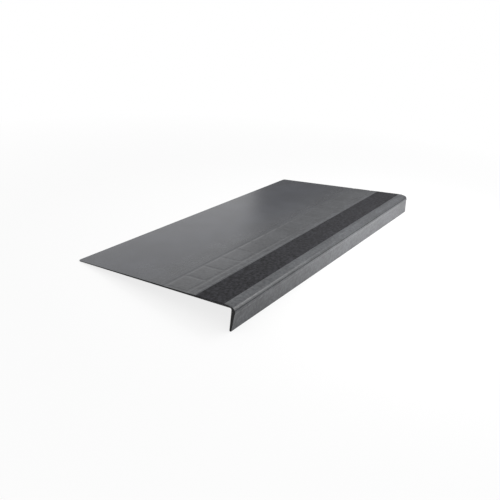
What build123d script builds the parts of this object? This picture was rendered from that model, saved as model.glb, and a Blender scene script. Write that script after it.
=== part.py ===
"""Rubber stair tread with a bevelled square nose and an abrasive strip, lying unheld on a level floor.

The section is drawn in the tread's own directions: depth runs from the nose to the back edge, and height is 0 on
the top face and negative below it. The tread rests on the rounded tip of its flange and on the lower corner of its
back edge, so its planes lean by the angle that these two contacts give. X runs along the nose, +Y points to the
back edge, +Z is up, and the origin is the centre of the footprint on the floor. All sizes are in millimetres.
"""

from build123d import *
from math import asin, atan2, cos, degrees, hypot, radians, sin, tan
import os

# Overall size
length = 610.0
depth = 305.0
nose_drop = 38.0

# The sheet thins towards its back edge
sheet_thickness_at_nose = 3.4
sheet_thickness_at_back = 1.2
back_corner_radius = 5.0

# The top face falls as a shallow bevel to the nose's small round
bevel_setback = 11.6
bevel_angle = 15.5
nose_radius = 3.8

# The nose stands proud of the flange, with a short step under it
nose_face_height = 0.6
nose_overhang = 0.6
nose_step_height = 0.9

# The flange leans back under the nose and thins towards its rounded tip
flange_lean = 8.0
flange_thickness_at_root = 6.1
flange_thickness_at_tip = 3.4
inner_corner_radius = 2.0

# Recess behind the nose and the strip bonded in it
strip_setback = 17.5
strip_width = 47.5
recess_depth = 1.0
strip_thickness = 1.1

# Low rounded lip along the back of the recess, and the fine groove behind it
lip_width = 5.0
lip_height = 0.2
fine_groove_setback = 70.2
fine_groove_width = 4.2
fine_groove_depth = 0.15

# Long grooves that border the pads, measured from the nose to each groove's near edge at the top face
front_groove_setback = 78.2
back_groove_setback = 118.2
long_groove_width = 8.0
groove_depth = 0.3
groove_wall_run = 2.5

# Cross grooves that part the pads, measured from the left end to the centre of the first, which that end cuts
first_cross_groove = 3.0
cross_groove_width = 8.0
pad_pitch = 41.0

# The flange's outer face starts under the nose's step and ends on the round of the tip
tip_radius = flange_thickness_at_tip / 2
tip_center_height = tip_radius - nose_drop
bevel = radians(bevel_angle)
nose_center_height = -(bevel_setback - nose_radius) * tan(bevel) - nose_radius / cos(bevel)
nose_face_bottom = nose_center_height - nose_face_height
flange_face_top = nose_face_bottom - nose_step_height
tip_front = nose_overhang + (flange_face_top - tip_center_height) * tan(radians(flange_lean))
tip_center_depth = tip_front + tip_radius
tip_back = tip_front + flange_thickness_at_tip

# At rest, the floor passes through the lower back corner and touches the tip's round from below
contact_run = depth - tip_center_depth
contact_rise = -sheet_thickness_at_back - tip_center_height
rest_tilt = atan2(contact_rise, contact_run) + asin(tip_radius / hypot(contact_run, contact_rise))

# The footprint runs from the foremost of the nose and the tip to the upper back corner
nose_reach = nose_face_bottom * sin(rest_tilt)
tip_reach = tip_center_depth * cos(rest_tilt) + tip_center_height * sin(rest_tilt) - tip_radius
back_reach = depth * cos(rest_tilt)
nose_line_y = -(min(nose_reach, tip_reach) + back_reach) / 2
nose_line_z = depth * sin(rest_tilt) + sheet_thickness_at_back * cos(rest_tilt)

wall_slope = degrees(atan2(groove_depth, groove_wall_run))
up = (0, sin(rest_tilt), cos(rest_tilt))
backward = (0, cos(rest_tilt), -sin(rest_tilt))
end_plane = Plane(origin=(-length / 2, nose_line_y, nose_line_z), x_dir=backward, z_dir=(1, 0, 0))
top_plane = Plane(origin=(-length / 2, nose_line_y, nose_line_z), x_dir=(1, 0, 0), z_dir=up)

# The moulding
with BuildPart() as rubber_tread:
    with BuildSketch(end_plane):
        with BuildLine():
            nose = JernArc(
                start=(nose_radius * (1 - sin(bevel)), nose_center_height + nose_radius * cos(bevel)),
                tangent=(-cos(bevel), -sin(bevel)),
                radius=nose_radius,
                arc_size=90 - bevel_angle,
            )
            Polyline(
                nose @ 1,
                (0, nose_face_bottom),
                (nose_overhang, flange_face_top),
                (tip_front, tip_center_height),
            )
            ThreePointArc(
                (tip_front, tip_center_height),
                (tip_center_depth, -nose_drop),
                (tip_back, tip_center_height),
            )
            Polyline(
                (tip_back, tip_center_height),
                (flange_thickness_at_root, -sheet_thickness_at_nose),
                (depth, -sheet_thickness_at_back),
                (depth, 0),
                (bevel_setback, 0),
                nose @ 0,
            )
        section_face = make_face()
        inner_corner = section_face.vertices().sort_by_distance(
            (flange_thickness_at_root, -sheet_thickness_at_nose)
        )[0]
        fillet(inner_corner, radius=inner_corner_radius)

        with Locations((strip_setback, -recess_depth)):
            Rectangle(strip_width, 2 * recess_depth, align=(Align.MIN, Align.MIN), mode=Mode.SUBTRACT)

        # the lip swells out of the top edge, and the fine groove sinks into it
        lip_start = strip_setback + strip_width
        with BuildLine():
            lip = ThreePointArc(
                (lip_start, 0),
                (lip_start + lip_width / 2, lip_height),
                (lip_start + lip_width, 0),
            )
            Line(lip @ 1, lip @ 0)
        make_face()
        with BuildLine():
            fine_groove = ThreePointArc(
                (fine_groove_setback, 0),
                (fine_groove_setback + fine_groove_width / 2, -fine_groove_depth),
                (fine_groove_setback + fine_groove_width, 0),
            )
            Line(fine_groove @ 1, fine_groove @ 0)
        make_face(mode=Mode.SUBTRACT)

        # the long grooves have sloping walls and a flat floor
        with Locations(
            (front_groove_setback + long_groove_width / 2, -groove_depth / 2),
            (back_groove_setback + long_groove_width / 2, -groove_depth / 2),
        ):
            Trapezoid(long_groove_width, groove_depth, wall_slope, rotation=180, mode=Mode.SUBTRACT)
    extrude(amount=length)

    # cross grooves of the same form run back from one long groove to the other
    cross_groove_count = int((length - first_cross_groove) // pad_pitch) + 1
    row_center = first_cross_groove + (cross_groove_count - 1) * pad_pitch / 2
    band_start = front_groove_setback + long_groove_width / 2
    band_end = back_groove_setback + long_groove_width / 2
    cross_plane = Plane(origin=end_plane.from_local_coords((band_start, 0, 0)), x_dir=(1, 0, 0), z_dir=backward)
    with BuildSketch(cross_plane):
        with Locations((row_center, groove_depth / 2)):
            with GridLocations(pad_pitch, 1, cross_groove_count, 1):
                Trapezoid(cross_groove_width, groove_depth, wall_slope)
    extrude(amount=band_end - band_start, mode=Mode.SUBTRACT)

    # the two back corners are eased in plan
    back_corners = rubber_tread.edges().filter_by(Axis((0, 0, 0), up)).group_by(Axis.Y)[-1]
    fillet(back_corners, radius=back_corner_radius)

rubber_tread.part.label = "rubber_tread"

# The abrasive strip, seated on the floor of the recess
with BuildPart() as grit_strip:
    with BuildSketch(top_plane.offset(-recess_depth)):
        with Locations((length / 2, strip_setback + strip_width / 2)):
            Rectangle(length, strip_width)
    extrude(amount=strip_thickness)

grit_strip.part.label = "grit_strip"

os.makedirs("parts", exist_ok=True)
export_step(rubber_tread.part, "parts/rubber_tread.step")
export_step(grit_strip.part, "parts/grit_strip.step")

print(f"leans back by {degrees(rest_tilt):.2f} degrees at rest")
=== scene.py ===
"""Looks of the rubber stair tread: the moulded rubber with its soft relief, and the gritty strip set in it.

The tread is worked out in its own directions: across runs along the nose from the left end, back runs from the nose
to the back edge, and up is 0 on the top face. They are written in millimetres and turned into the frame's metres,
where the tread leans back on the floor as it does unheld.
"""

import math

import bpy
import numpy as np
from mathutils import Matrix, Vector


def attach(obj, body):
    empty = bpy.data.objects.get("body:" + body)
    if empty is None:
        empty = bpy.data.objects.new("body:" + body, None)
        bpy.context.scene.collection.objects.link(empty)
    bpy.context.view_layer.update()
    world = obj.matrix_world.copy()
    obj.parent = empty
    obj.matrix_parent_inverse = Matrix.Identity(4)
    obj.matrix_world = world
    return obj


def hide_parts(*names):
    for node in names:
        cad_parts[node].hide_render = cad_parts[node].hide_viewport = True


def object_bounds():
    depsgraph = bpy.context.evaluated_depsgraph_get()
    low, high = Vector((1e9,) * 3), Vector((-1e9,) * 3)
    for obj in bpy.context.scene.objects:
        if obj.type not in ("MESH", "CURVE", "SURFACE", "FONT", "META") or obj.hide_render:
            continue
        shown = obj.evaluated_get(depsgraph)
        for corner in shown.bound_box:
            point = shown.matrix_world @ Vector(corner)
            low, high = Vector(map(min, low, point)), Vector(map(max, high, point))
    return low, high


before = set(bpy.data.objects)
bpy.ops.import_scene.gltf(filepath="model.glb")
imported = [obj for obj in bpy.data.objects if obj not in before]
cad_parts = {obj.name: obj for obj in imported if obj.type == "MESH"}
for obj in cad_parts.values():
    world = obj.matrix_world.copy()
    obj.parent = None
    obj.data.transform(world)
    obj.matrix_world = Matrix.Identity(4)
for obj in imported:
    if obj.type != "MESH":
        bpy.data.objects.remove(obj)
cad_low, cad_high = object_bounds()

MM = 0.001

# Sizes of the moulding in millimetres, in its own directions
length = (cad_high.x - cad_low.x) / MM
depth = 305.0
nose_drop = 38.0
sheet_at_nose = 3.4
sheet_at_back = 1.2
back_corner_radius = 5.0
corner_blend = 14.0
bevel_setback = 11.6
bevel = math.radians(15.5)
nose_radius = 3.8
nose_face_height = 0.6
nose_overhang = 0.6
nose_step_height = 0.9
flange_lean = math.radians(8.0)
flange_at_root = 6.1
flange_at_tip = 3.4
inner_corner_radius = 2.0
end_edge_radius = 0.25

# The nose as it is seen is softer than the plain radius: a round that slackens from the upper radius to the lower one
# where its slope passes slack_slope, and bends over a neck into the flange
upper_nose_radius = 5.0
lower_nose_radius = 8.4
slack_slope = math.radians(50.0)
soft_nose_inset = 0.15
neck_height = 3.8

# The flange leans back more at the left end than at the right one, as rubber that has taken a slight twist
tip_shift_left = 3.0
tip_shift_right = -3.4
tip_lift_right = 1.2

# Strip and recess
strip_setback = 17.5
strip_width = 47.5
recess_depth = 1.0
recess_wall = 0.25
strip_thickness = 1.1
strip_clearance = 0.12
strip_end_gap = 0.3
strip_edge_radius = 0.1
grain_pitch = 1.0
grain_height = 0.28

# Lip behind the recess, and the ridge where the bevel starts, which is eased over a few millimetres
lip_height = 0.42
lip_width = 5.0
ridge_easing = 1.6

# Grooves and pads
groove_depth = 0.32
groove_wall = 2.8
fine_groove_setback = 70.2
fine_groove_width = 4.2
fine_groove_depth = 0.1
front_groove_setback = 78.2
back_groove_setback = 118.2
long_groove_width = 8.0
first_cross_groove = 3.0
cross_groove_width = 8.0
pad_pitch = 41.0

# Pebble grain from the mould, as a share of its full strength: down the front by height, where it thins on the lower
# half of the nose, so the rubber there is smoother and its darker tone is painted shade under the nose's highlight, and
# along the top by distance from the nose, where it gives way to the smooth field
grain_heights = [-13.0, -9.0, -7.6, -6.2, -4.5, -3.2, -1.4]
grain_and_shade_down_front = [1.0, 0.95, 0.8, 0.3, 0.38, 0.6, 1.0]
grain_setbacks = [72.0, 80.0, 130.0, 220.0]
grain_along_top = [1.0, 0.6, 0.35, 0.0]
field_setbacks = [80.0, 180.0]

# Rest on the floor: the tip's round and the lower back corner touch it
tip_radius = flange_at_tip / 2
tip_center_up = tip_radius - nose_drop
nose_centre_up = -(bevel_setback - nose_radius) * math.tan(bevel) - nose_radius / math.cos(bevel)
nose_face_bottom = nose_centre_up - nose_face_height
flange_face_top = nose_face_bottom - nose_step_height
tip_front = nose_overhang + (flange_face_top - tip_center_up) * math.tan(flange_lean)
tip_center_back = tip_front + tip_radius
contact_run = depth - tip_center_back
contact_rise = -sheet_at_back - tip_center_up
rest_tilt = math.atan2(contact_rise, contact_run) + math.asin(tip_radius / math.hypot(contact_run, contact_rise))
nose_line_y = cad_low.y / MM - nose_face_bottom * math.sin(rest_tilt)
nose_line_z = depth * math.sin(rest_tilt) + sheet_at_back * math.cos(rest_tilt)

# Soft nose: the two rounds in line, and the foot of the neck on the flange's leaning face
lower_run = lower_nose_radius * (1.0 - math.sin(slack_slope))
upper_run = upper_nose_radius * (math.sin(slack_slope) - math.sin(bevel))
round_top = -(bevel_setback - soft_nose_inset - lower_run - upper_run) * math.tan(bevel)
slack_up = round_top - upper_nose_radius * (math.cos(bevel) - math.cos(slack_slope))
nose_foot_up = slack_up - lower_nose_radius * math.cos(slack_slope)
neck_foot_up = nose_foot_up - neck_height
neck_run = tip_front - (neck_foot_up - tip_center_up) * math.tan(flange_lean) - soft_nose_inset

# Studio: borders of its bright parts in degrees, and their radiance
ceiling_from = 16.0
ceiling_to = 34.0
wall_edge = 35.1
wall_edge_softness = 0.6
wall_end_from = 70.0
wall_end_to = 110.0
dim_level = 0.225
wall_level = 0.93
ceiling_level = 0.87


def in_frame(across, back, up):
    """Points of the tread's own directions in the frame's metres: back and up are turned by the rest tilt."""
    y = nose_line_y + back * math.cos(rest_tilt) + up * math.sin(rest_tilt)
    z = nose_line_z - back * math.sin(rest_tilt) + up * math.cos(rest_tilt)
    return np.stack(np.broadcast_arrays(across - length / 2, y, z), axis=-1) * MM


def turned(across, back, up):
    """A direction of the tread's own as a unit vector of the frame."""
    y = back * math.cos(rest_tilt) + up * math.sin(rest_tilt)
    z = -back * math.sin(rest_tilt) + up * math.cos(rest_tilt)
    return Vector((across, y, z)).normalized()


def ease(start, end, at):
    """0 up to start, 1 from end on, and 3t² − 2t³ between them."""
    t = np.clip((at - start) / (end - start), 0.0, 1.0)
    return t * t * (3.0 - 2.0 * t)


def trough(near, far, wall, at):
    """1 on the floor between near and far, 0 outside, eased over the width of each wall."""
    return ease(near, near + wall, at) * (1.0 - ease(far - wall, far, at))


def mound(middle, width, at):
    """1 at the middle, falling as a squared cosine to 0 at half the width on each side."""
    reach = np.clip(np.abs(at - middle) / (width / 2), 0.0, 1.0)
    return np.cos(reach * math.pi / 2) ** 2


def relief(across, back):
    """Height of the top face over its plane: the lip, less the deepest long or cross groove at each point, less the
    fine groove, less the recess."""
    off_centre = np.abs((across - first_cross_groove + pad_pitch / 2) % pad_pitch - pad_pitch / 2)
    cross = 1.0 - ease(cross_groove_width / 2 - groove_wall, cross_groove_width / 2, off_centre)
    band = trough(front_groove_setback, back_groove_setback + long_groove_width, groove_wall, back)
    front = trough(front_groove_setback, front_groove_setback + long_groove_width, groove_wall, back)
    behind = trough(back_groove_setback, back_groove_setback + long_groove_width, groove_wall, back)
    fine = mound(fine_groove_setback + fine_groove_width / 2, fine_groove_width, back)
    grooves = np.maximum(np.maximum(front, behind), cross * band)
    lip = mound(strip_setback + strip_width + lip_width / 2, lip_width, back)
    recess = trough(strip_setback, strip_setback + strip_width, recess_wall, back)
    return lip_height * lip - groove_depth * grooves - fine_groove_depth * fine - recess_depth * recess


def eased_and_twisted(across, back, up):
    """Rounds the two back corners in plan and gives the flange its twist.

    Near an end, a point moves inwards by the corner's inset r − √(r² − s²), fading to nothing over the corner's
    blend. The flange shifts back in proportion to its drop below the nose and rises by shift × tan(tilt), so its tip
    stays on the floor, except near the right end, where it lifts a little by the cube of the way along."""
    past = np.clip(back - (depth - back_corner_radius), 0.0, back_corner_radius)
    inset = back_corner_radius - np.sqrt(np.maximum(back_corner_radius**2 - past**2, 0.0))
    from_left = np.clip(across, 0.0, corner_blend)
    from_right = np.clip(length - across, 0.0, corner_blend)
    moved = across + inset * (1.0 - from_left / corner_blend) - inset * (1.0 - from_right / corner_blend)
    drop = np.clip((flange_face_top - up) / (flange_face_top - tip_center_up), 0.0, 1.1)
    shift = (tip_shift_left + (tip_shift_right - tip_shift_left) * across / length) * drop
    lift = tip_lift_right * drop * np.clip(across / length, 0.0, 1.0) ** 3
    return moved, back + shift, up + shift * math.tan(rest_tilt) + lift


def stations():
    """Places along the length, close together on the walls of the cross grooves and at the ends."""
    centres = first_cross_groove + pad_pitch * np.arange(int((length - first_cross_groove) // pad_pitch) + 1)
    half = cross_groove_width / 2
    around = np.concatenate([
        np.linspace(-half, -half + groove_wall, 6),
        [0.0],
        np.linspace(half - groove_wall, half, 6),
        [half + 8.0, half + 16.5, half + 25.0],
    ])
    inner = (centres[:, None] + around[None, :]).ravel()
    inner = inner[(inner > 1.2) & (inner < length - 1.2)]
    return np.concatenate([[end_edge_radius, 0.7], inner, [length - 0.7, length - end_edge_radius]])


def spread(start, *stops):
    """Joined runs of evenly spaced values from the start: each stop is (end, steps)."""
    runs = [np.array([start])]
    for (end, steps) in stops:
        runs.append(np.linspace(runs[-1][-1], end, steps + 1)[1:])
    return np.concatenate(runs)


def arc(centre_back, centre_up, radius, angles):
    """Points of a circle at these angles in radians, as rows of (back, up)."""
    return np.stack([centre_back + radius * np.cos(angles), centre_up + radius * np.sin(angles)], axis=1)


def flange_front():
    """The flange's outer face, a straight line up from the tip's round, and the neck over it.

    With t as the share of the neck's height under the nose, the neck is back = inset + run × (3t² − 2t³) + height ×
    tan(lean) × (t³ − t²), a cubic that leaves the flange along its lean and meets the nose upright."""
    share = np.append(np.linspace(0.0, 0.8, 7), [0.85, 0.9, 0.95, 1.0])
    outer_face = np.stack([
        tip_front - (tip_front - nose_overhang) * share,
        tip_center_up + (flange_face_top - tip_center_up) * share,
    ], axis=1)
    outer_face = outer_face[outer_face[:, 1] < neck_foot_up - 0.3]
    t = np.linspace(1.0, 0.0, 13)[:-1]
    neck = np.stack([
        soft_nose_inset + neck_run * t * t * (3.0 - 2.0 * t) + neck_height * math.tan(flange_lean) * (t**3 - t**2),
        nose_foot_up - neck_height * t,
    ], axis=1)
    return np.concatenate([outer_face, neck])


def nose_and_bevel():
    """The soft nose, the bevel and the eased ridge where it starts.

    The nose is two rounds that meet at slack_slope with one tangent: the lower one from upright to that slope, the
    upper one on to the bevel's. The bevel falls by tan(bevel) × distance before its ridge, and the ridge is the
    parabola tan(bevel) × distance² ÷ (4 × easing), with the distance taken from the easing's far end."""
    lower = np.linspace(math.pi / 2, slack_slope, 16)
    upper = np.linspace(slack_slope, bevel, 14)[1:]
    nose = np.concatenate([
        np.stack([soft_nose_inset + lower_nose_radius * (1.0 - np.sin(lower)),
                  nose_foot_up + lower_nose_radius * np.cos(lower)], axis=1),
        np.stack([soft_nose_inset + lower_run + upper_nose_radius * (math.sin(slack_slope) - np.sin(upper)),
                  slack_up + upper_nose_radius * (np.cos(upper) - math.cos(slack_slope))], axis=1),
    ])
    bevel_back = spread(nose[-1, 0], (bevel_setback - ridge_easing, 7), (bevel_setback + ridge_easing, 8))[1:]
    past_ridge = np.clip(bevel_setback + ridge_easing - bevel_back, 0.0, None)
    fall = np.where(past_ridge < 2 * ridge_easing, past_ridge**2 / (4 * ridge_easing), past_ridge - ridge_easing)
    return np.concatenate([nose, np.stack([bevel_back, -fall * math.tan(bevel)], axis=1)])


def top_setbacks():
    """Distances from the nose of the top face's points, close together on every wall of the relief."""
    strip_end = strip_setback + strip_width
    return spread(
        bevel_setback + ridge_easing,
        (strip_setback, 3), (strip_setback + recess_wall, 3),
        (strip_end - recess_wall, 4), (strip_end, 3), (strip_end + lip_width, 12),
        (fine_groove_setback, 1), (fine_groove_setback + fine_groove_width, 12),
        (front_groove_setback, 2), (front_groove_setback + groove_wall, 6),
        (front_groove_setback + long_groove_width - groove_wall, 2),
        (front_groove_setback + long_groove_width, 6),
        (back_groove_setback, 6), (back_groove_setback + groove_wall, 6),
        (back_groove_setback + long_groove_width - groove_wall, 2),
        (back_groove_setback + long_groove_width, 6),
        (depth - back_corner_radius, 14), (depth - 2.0, 5), (depth - 0.5, 4), (depth, 3),
    )[1:]


def underside(setbacks):
    """The sheet's lower face from the back edge, the round of the inner corner and the flange's inner face.

    The lower face rises evenly as the sheet thins. The round's centre lies on the line that halves the corner, at
    radius ÷ sin(half the angle) from it."""
    slope = (sheet_at_nose - sheet_at_back) / (depth - flange_at_root)
    corner_setbacks = setbacks[(setbacks > depth - back_corner_radius) & (setbacks < depth)]
    under_back = np.concatenate([[depth], corner_setbacks[::-1], np.linspace(depth - back_corner_radius, 20.0, 14)])
    under = np.stack([under_back, -sheet_at_nose + slope * (under_back - flange_at_root)], axis=1)

    corner = np.array([flange_at_root, -sheet_at_nose])
    along_sheet = np.array([1.0, slope]) / math.hypot(1.0, slope)
    tip_inner = np.array([tip_front + flange_at_tip, tip_center_up])
    along_flange = (tip_inner - corner) / np.linalg.norm(tip_inner - corner)
    middle = along_sheet + along_flange
    half_angle = math.acos(float(along_sheet @ along_flange)) / 2
    centre = corner + middle / np.linalg.norm(middle) * inner_corner_radius / math.sin(half_angle)
    tangent = inner_corner_radius / math.tan(half_angle)
    first = corner + along_sheet * tangent - centre
    last = corner + along_flange * tangent - centre
    start_angle = math.atan2(first[1], first[0])
    end_angle = math.atan2(last[1], last[0])
    swing = (end_angle - start_angle + math.pi) % (2 * math.pi) - math.pi
    fillet = arc(centre[0], centre[1], inner_corner_radius, start_angle + swing * np.linspace(0.0, 1.0, 9))
    inner_face = centre + last + (tip_inner - centre - last) * np.linspace(0.0, 1.0, 8)[1:, None]
    return np.concatenate([under, fillet, inner_face])


def outline():
    """The section as a closed loop of (back, up) points, with three shares for each point: whether it is on the top
    face, which carries the relief, how strong its pebble grain is, and how far it belongs to the smooth field.

    It starts under the tip, climbs the outer face, turns over the nose, runs back on the top, and returns below."""
    setbacks = top_setbacks()
    tip_outer = arc(tip_center_back, tip_center_up, tip_radius, np.radians(np.linspace(-90.0, -180.0, 9)[:-1]))
    tip_back = arc(tip_center_back, tip_center_up, tip_radius, np.radians(np.linspace(0.0, -90.0, 9)[1:-1]))
    front = np.concatenate([tip_outer, flange_front(), nose_and_bevel()])
    top = np.stack([setbacks, np.zeros_like(setbacks)], axis=1)
    below = np.concatenate([underside(setbacks), tip_back])
    counts = [len(front), len(top), len(below)]
    in_front = np.repeat([1.0, 0.0, 0.0], counts)
    on_top = np.repeat([0.0, 1.0, 0.0], counts)
    loop = np.concatenate([front, top, below])
    back, up = loop.T
    # where the pebble share thins under the nose, the tone darkens too, which is painted shade there
    pebbled = (in_front * np.interp(up, grain_heights, grain_and_shade_down_front)
               + on_top * np.interp(back, grain_setbacks, grain_along_top))
    smooth = on_top * np.interp(back, field_setbacks, [0.0, 1.0])
    return loop, on_top, pebbled, smooth


def swept(name, loop, on_top, places, edge, height_at, bend=None):
    """A closed section carried along the length.

    Each point is the section's point, raised by height_at(across, back) where it lies on the top face. Past the first
    and last places the section is drawn in along its normals by the edge radius × (1 − cos turn), which rounds the
    ends, and each end is closed by one face."""
    tangent = np.roll(loop, -1, axis=0) - np.roll(loop, 1, axis=0)
    inward = np.stack([tangent[:, 1], -tangent[:, 0]], axis=1)
    inward /= np.linalg.norm(inward, axis=1, keepdims=True)
    turn = np.radians(np.array([30.0, 60.0, 90.0]))
    shrink = edge * (1.0 - np.cos(turn))
    across = np.concatenate([places[0] - edge * np.sin(turn[::-1]), places, places[-1] + edge * np.sin(turn)])
    drawn_in = np.concatenate([shrink[::-1], np.zeros(len(places)), shrink])

    a = np.broadcast_to(across[:, None], (len(across), len(loop)))
    b = loop[None, :, 0] + drawn_in[:, None] * inward[None, :, 0]
    u = loop[None, :, 1] + drawn_in[:, None] * inward[None, :, 1]
    u = u + on_top[None, :] * height_at(a, b)
    if bend is not None:
        a, b, u = bend(a, b, u)
    points = in_frame(a, b, u)
    rings, around = points.shape[:2]
    i = np.arange(rings - 1)[:, None] * around
    j = np.arange(around)[None, :]
    k = (j + 1) % around
    sides = np.stack(np.broadcast_arrays(i + j, i + around + j, i + around + k, i + k), axis=-1).reshape(-1, 4)
    caps = [list(range(around)), list(range((rings - 1) * around, rings * around))[::-1]]
    return mesh_object(name, points.reshape(-1, 3), sides.tolist() + caps)


def mesh_object(name, points, faces):
    """An object at the origin with these points and faces, shaded smooth up to 35 degrees."""
    mesh = bpy.data.meshes.new(name)
    mesh.from_pydata(points.tolist(), [], faces)
    mesh.update()
    mesh.polygons.foreach_set("use_smooth", np.ones(len(mesh.polygons), dtype=bool))
    mesh.set_sharp_from_angle(angle=math.radians(35.0))
    made = bpy.data.objects.new(name, mesh)
    bpy.context.scene.collection.objects.link(made)
    return made


def linear(hex_colour):
    """An sRGB hex colour as linear red, green, blue and an opaque alpha."""
    parts = [int(hex_colour[i:i + 2], 16) / 255 for i in (1, 3, 5)]
    return tuple(c / 12.92 if c <= 0.04045 else ((c + 0.055) / 1.055) ** 2.4 for c in parts) + (1.0,)


def add_node(tree, kind, inputs=None, **settings):
    """Adds a node with its settings, and links or sets each named input."""
    made = tree.nodes.new(kind)
    for key, value in settings.items():
        setattr(made, key, value)
    for key, value in (inputs or {}).items():
        if isinstance(value, bpy.types.NodeSocket):
            tree.links.new(value, made.inputs[key])
        else:
            made.inputs[key].default_value = value
    return made


def empty_material(name):
    """A material with only an output node, as (material, tree, output)."""
    made = bpy.data.materials.new(name)
    made.use_nodes = True
    made.node_tree.nodes.clear()
    return made, made.node_tree, add_node(made.node_tree, "ShaderNodeOutputMaterial")


def scale_for(size_mm):
    """Noise scale on Object coordinates, in metres, whose features are about this many millimetres across."""
    return 1.0 / (size_mm * MM)


def moulded_rubber():
    """Semi-gloss moulded rubber, a dark grey that is a little bluer on the smooth field.

    The field mirrors the room softly, and a faint waviness of the sheet bends the reflections' borders. Round the
    strip and on the nose a pebble grain from the mould spreads the gloss and pales the tone, and the pebbles' tops are
    paler than their hollows, which is painted shade in the hollows. Under the nose's highlight the grain thins, so the
    rubber there is smoother, and its darker tone there is painted shade. A faint clouding, as of handled rubber, goes
    over all of it. The cut ends are matt, and their darker tone is painted shade. Real pebbles are about 1 mm across:
    they are drawn at 4.5 mm, as coarse as they need to show."""
    material, tree, output = empty_material("moulded_rubber_grey")
    place = add_node(tree, "ShaderNodeTexCoord").outputs["Object"]
    pebbled = add_node(tree, "ShaderNodeAttribute", attribute_name="pebbled").outputs["Fac"]
    field = add_node(tree, "ShaderNodeAttribute", attribute_name="smooth_field").outputs["Fac"]

    # the cut starts within the small round of each end
    across = add_node(tree, "ShaderNodeSeparateXYZ", {"Vector": place})
    from_middle = add_node(tree, "ShaderNodeMath", {0: across.outputs["X"]}, operation="ABSOLUTE")
    cut = add_node(tree, "ShaderNodeMapRange", {
        "Value": from_middle.outputs["Value"],
        "From Min": (length / 2 - 0.16) * MM, "From Max": (length / 2 - 0.04) * MM,
    })

    waviness = add_node(tree, "ShaderNodeTexNoise", {"Vector": place, "Scale": scale_for(90.0), "Detail": 1.0})
    wavy = add_node(tree, "ShaderNodeBump", {"Height": waviness.outputs["Fac"], "Strength": 1.0, "Distance": 0.0003})
    skin = add_node(tree, "ShaderNodeTexNoise", {"Vector": place, "Scale": scale_for(4.5), "Detail": 2.0})
    grain = add_node(tree, "ShaderNodeMapRange", {"Value": pebbled, "To Min": 0.04, "To Max": 1.0})
    rough = add_node(tree, "ShaderNodeBump", {
        "Height": skin.outputs["Fac"], "Strength": grain.outputs["Result"], "Distance": 0.0003,
        "Normal": wavy.outputs["Normal"],
    })

    bare = add_node(tree, "ShaderNodeMix", {
        0: field, 6: linear("#3e3f41"), 7: linear("#3c3e45"),
    }, data_type="RGBA")
    # the pebbles' hollows take the darker tone and their tops the paler one: painted shade in the hollows
    pebble_hollow_shade = add_node(tree, "ShaderNodeMapRange", {
        "Value": skin.outputs["Fac"], "From Min": 0.35, "From Max": 0.65,
    })
    pebbles = add_node(tree, "ShaderNodeMix", {
        0: pebble_hollow_shade.outputs["Result"], 6: linear("#3c3d40"), 7: linear("#525457"),
    }, data_type="RGBA")
    # a smaller pebble share gives the darker bare tone, which under the nose is painted shade
    skin_tone = add_node(tree, "ShaderNodeMix", {
        0: pebbled, 6: bare.outputs[2], 7: pebbles.outputs[2],
    }, data_type="RGBA")
    clouding = add_node(tree, "ShaderNodeTexNoise", {"Vector": place, "Scale": scale_for(38.0), "Detail": 3.0})
    cloud = add_node(tree, "ShaderNodeMapRange", {
        "Value": clouding.outputs["Fac"], "From Min": 0.4, "From Max": 0.6, "To Min": 0.89, "To Max": 1.11,
    })
    clouded = add_node(tree, "ShaderNodeHueSaturation", {
        "Color": skin_tone.outputs[2], "Value": cloud.outputs["Result"],
    })
    # the cut ends are matt, and their darker tone is painted shade
    colour = add_node(tree, "ShaderNodeMix", {
        0: cut.outputs["Result"], 6: clouded.outputs["Color"], 7: linear("#1c1c1d"),
    }, data_type="RGBA")

    moulded = add_node(tree, "ShaderNodeMapRange", {"Value": pebbled, "To Min": 0.2, "To Max": 0.42})
    polish = add_node(tree, "ShaderNodeMix", {0: cut.outputs["Result"], 2: moulded.outputs["Result"], 3: 0.8})
    shader = add_node(tree, "ShaderNodeBsdfPrincipled", {
        "Base Color": colour.outputs[2],
        "Roughness": polish.outputs[0],
        "IOR": 1.5,
        "Normal": rough.outputs["Normal"],
    })
    tree.links.new(shader.outputs["BSDF"], output.inputs["Surface"])
    return material


def bonded_grit():
    """Abrasive grit bonded in a near-black binder: coarse matt grains that shade one another, in paler and darker
    patches. Real patches are a grain or two across: they are drawn at 4.2 mm, as coarse as they need to show."""
    material, tree, output = empty_material("bonded_grit_black")
    place = add_node(tree, "ShaderNodeTexCoord").outputs["Object"]
    grit = add_node(tree, "ShaderNodeTexVoronoi", {"Vector": place, "Scale": scale_for(1.3)})
    patches = add_node(tree, "ShaderNodeTexNoise", {"Vector": place, "Scale": scale_for(4.2), "Detail": 2.0})
    tone = add_node(tree, "ShaderNodeValToRGB", {"Fac": patches.outputs["Fac"]})
    tone.color_ramp.elements[0].position = 0.35
    tone.color_ramp.elements[0].color = linear("#0c0c0f")
    tone.color_ramp.elements[1].position = 0.7
    tone.color_ramp.elements[1].color = linear("#313136")
    bump = add_node(tree, "ShaderNodeBump", {"Height": grit.outputs["Distance"], "Strength": 0.6, "Distance": 0.0004})
    shader = add_node(tree, "ShaderNodeBsdfPrincipled", {
        "Base Color": tone.outputs["Color"],
        "Roughness": 0.85,
        "IOR": 1.42,
        "Normal": bump.outputs["Normal"],
    })
    tree.links.new(shader.outputs["BSDF"], output.inputs["Surface"])
    return material


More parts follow.
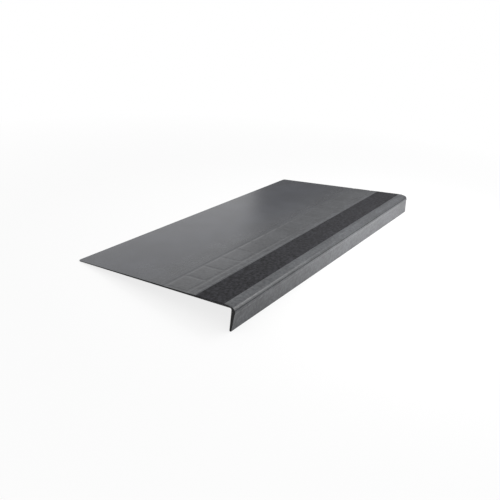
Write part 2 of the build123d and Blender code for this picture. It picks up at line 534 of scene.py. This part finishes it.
def pale_floor():
    """Matt white floor that reads as white to the camera, and keeps a soft part of the shadow near the tread."""
    material, tree, output = empty_material("matt_white_floor")
    rays = add_node(tree, "ShaderNodeLightPath")
    place = add_node(tree, "ShaderNodeTexCoord").outputs["Object"]
    reach = add_node(tree, "ShaderNodeVectorMath", {0: place}, operation="LENGTH")
    fade = add_node(tree, "ShaderNodeMapRange", {
        "Value": reach.outputs["Value"], "From Min": 0.45, "From Max": 1.1, "To Min": 0.8, "To Max": 1.0,
    })
    matt = add_node(tree, "ShaderNodeBsdfDiffuse", {"Color": linear("#f6f6f6")})
    white = add_node(tree, "ShaderNodeEmission", {"Color": linear("#ffffff"), "Strength": 1.0})
    share = add_node(tree, "ShaderNodeMath", {
        0: rays.outputs["Is Camera Ray"], 1: fade.outputs["Result"],
    }, operation="MULTIPLY")
    mix = add_node(tree, "ShaderNodeMixShader", {
        "Fac": share.outputs["Value"], 1: matt.outputs["BSDF"], 2: white.outputs["Emission"],
    })
    tree.links.new(mix.outputs["Shader"], output.inputs["Surface"])
    return material


def studio_air():
    """White studio around the tread, white to the camera.

    In the tread's own directions, the room is bright above the ceiling's edge all round, and a bright wall reaches
    down to the floor behind the left half. The rest is dim. The sheet mirrors their eased borders softly. The level
    is the dim one, raised to the wall's by the brighter share of the two, then moved to the ceiling's by its own."""
    world = bpy.data.worlds.new("studio")
    bpy.context.scene.world = world
    world.use_nodes = True
    tree = world.node_tree
    tree.nodes.clear()
    way = add_node(tree, "ShaderNodeTexCoord").outputs["Generated"]
    own = add_node(tree, "ShaderNodeVectorRotate", {"Vector": way, "Angle": rest_tilt}, rotation_type="X_AXIS")
    parts = add_node(tree, "ShaderNodeSeparateXYZ", {"Vector": own.outputs["Vector"]})
    azimuth = add_node(tree, "ShaderNodeMath", {0: parts.outputs["Y"], 1: parts.outputs["X"]}, operation="ARCTAN2")
    elevation = add_node(tree, "ShaderNodeMath", {0: parts.outputs["Z"]}, operation="ARCSINE")
    ceiling = add_node(tree, "ShaderNodeMapRange", {
        "Value": elevation.outputs["Value"],
        "From Min": math.radians(ceiling_from), "From Max": math.radians(ceiling_to),
    }, interpolation_type="SMOOTHSTEP")
    wall_start = add_node(tree, "ShaderNodeMapRange", {
        "Value": azimuth.outputs["Value"],
        "From Min": math.radians(wall_edge - wall_edge_softness),
        "From Max": math.radians(wall_edge + wall_edge_softness),
    }, interpolation_type="SMOOTHSTEP")
    wall_end = add_node(tree, "ShaderNodeMapRange", {
        "Value": azimuth.outputs["Value"],
        "From Min": math.radians(wall_end_from), "From Max": math.radians(wall_end_to), "To Min": 1.0, "To Max": 0.0,
    }, interpolation_type="SMOOTHSTEP")
    wall = add_node(tree, "ShaderNodeMath", {
        0: wall_start.outputs["Result"], 1: wall_end.outputs["Result"],
    }, operation="MULTIPLY")
    bright = add_node(tree, "ShaderNodeMath", {
        0: ceiling.outputs["Result"], 1: wall.outputs["Value"],
    }, operation="MAXIMUM")
    below = add_node(tree, "ShaderNodeMapRange", {
        "Value": bright.outputs["Value"], "To Min": dim_level, "To Max": wall_level,
    })
    level = add_node(tree, "ShaderNodeMath", {
        0: ceiling.outputs["Result"], 1: ceiling_level - wall_level, 2: below.outputs["Result"],
    }, operation="MULTIPLY_ADD")
    rays = add_node(tree, "ShaderNodeLightPath")
    room = add_node(tree, "ShaderNodeBackground", {"Color": linear("#ffffff"), "Strength": level.outputs["Value"]})
    white = add_node(tree, "ShaderNodeBackground", {"Color": linear("#ffffff"), "Strength": 1.0})
    mix = add_node(tree, "ShaderNodeMixShader", {
        "Fac": rays.outputs["Is Camera Ray"], 1: room.outputs["Background"], 2: white.outputs["Background"],
    })
    output = add_node(tree, "ShaderNodeOutputWorld")
    tree.links.new(mix.outputs["Shader"], output.inputs["Surface"])


def softbox(name, place, aim, width, height, radiance, spread_angle):
    """A rectangular lamp at place facing aim, whose light spreads over this angle; its power is radiance × π × area."""
    lamp = bpy.data.lights.new(name, "AREA")
    lamp.shape = "RECTANGLE"
    lamp.size = width
    lamp.size_y = height
    lamp.spread = math.radians(spread_angle)
    lamp.energy = radiance * math.pi * width * height
    made = bpy.data.objects.new(name, lamp)
    made.location = place
    made.rotation_euler = (Vector(aim) - Vector(place)).to_track_quat("-Z", "Y").to_euler()
    bpy.context.scene.collection.objects.link(made)


# The moulding
section, on_top, pebbled, smooth = outline()
tread = swept("moulded_tread", section, on_top, stations(), end_edge_radius, relief, eased_and_twisted)
for name, share in (("pebbled", pebbled), ("smooth_field", smooth)):
    marked = tread.data.attributes.new(name, "FLOAT", "POINT")
    marked.data.foreach_set("value", np.tile(share, len(tread.data.vertices) // len(share)))
tread.data.materials.append(moulded_rubber())
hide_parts("rubber_tread")
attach(tread, "root")

# The strip: its top from front to back in steps of a grain, then its two lower corners
strip_across = np.linspace(strip_end_gap, length - strip_end_gap, int(length / grain_pitch))
strip_back = np.linspace(strip_setback + strip_clearance, strip_setback + strip_width - strip_clearance,
                         int(strip_width / grain_pitch))
strip_floor, strip_top = -recess_depth, strip_thickness - recess_depth
strip_loop = np.concatenate([
    np.stack([strip_back, np.full_like(strip_back, strip_top)], axis=1),
    np.stack([strip_back[[-1, 0]], np.full(2, strip_floor)], axis=1),
])
grain_rng = np.random.default_rng(11)


def grains(across, back):
    """Random heights of the grains, one for each point of the strip's grid, half of them below its plane."""
    return grain_height * grain_rng.random(across.shape) - grain_height / 2


# the points of the top between its two edges carry grains
grained = np.zeros(len(strip_loop))
grained[1:len(strip_back) - 1] = 1.0
strip = swept("abrasive_strip", strip_loop, grained, strip_across, strip_edge_radius, grains)
strip.data.materials.append(bonded_grit())
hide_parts("grit_strip")
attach(strip, "root")

# Floor
floor_reach = 60.0
floor = mesh_object("floor", np.array([
    (-floor_reach, -floor_reach, 0.0), (floor_reach, -floor_reach, 0.0),
    (floor_reach, floor_reach, 0.0), (-floor_reach, floor_reach, 0.0),
]), [[0, 1, 2, 3]])
floor.data.materials.append(pale_floor())

# Light: the room, the key above the front, a glint on the bevel's left part, and two fills low in front
studio_air()
softbox("key", (0.42, -0.45, 0.68), (0.0, -0.15, 0.0), 0.6, 0.4, 2.75, 180.0)
softbox("glint", (0.36, -0.31, 0.70), (-0.3, -0.15, 0.04), 0.35, 0.17, 1.3, 100.0)
softbox("front_fill", (0.12, -0.52, 0.32), (0.08, -0.2, 0.0), 0.6, 0.25, 1.05, 100.0)
softbox("low_fill", (0.18, -0.38, 0.20), (0.15, -0.24, 0.0), 0.5, 0.1, 2.2, 100.0)

# Camera, where it stands and looks in the tread's own directions
camera_at = in_frame(-473.3, -366.0, 303.4)
look = turned(0.75876, 0.54556, -0.35586)
right = turned(0.57436, -0.81807, -0.02953)
upward = right.cross(look).normalized()
right = look.cross(upward)
lens = bpy.data.cameras.new("camera")
lens.sensor_width = 36.0
lens.lens = 38.47
camera = bpy.data.objects.new("camera", lens)
camera.matrix_world = Matrix.Translation(Vector(camera_at)) @ Matrix((right, upward, -look)).transposed().to_4x4()
bpy.context.scene.collection.objects.link(camera)
bpy.context.scene.camera = camera

bpy.context.scene.view_settings.view_transform = "Standard"
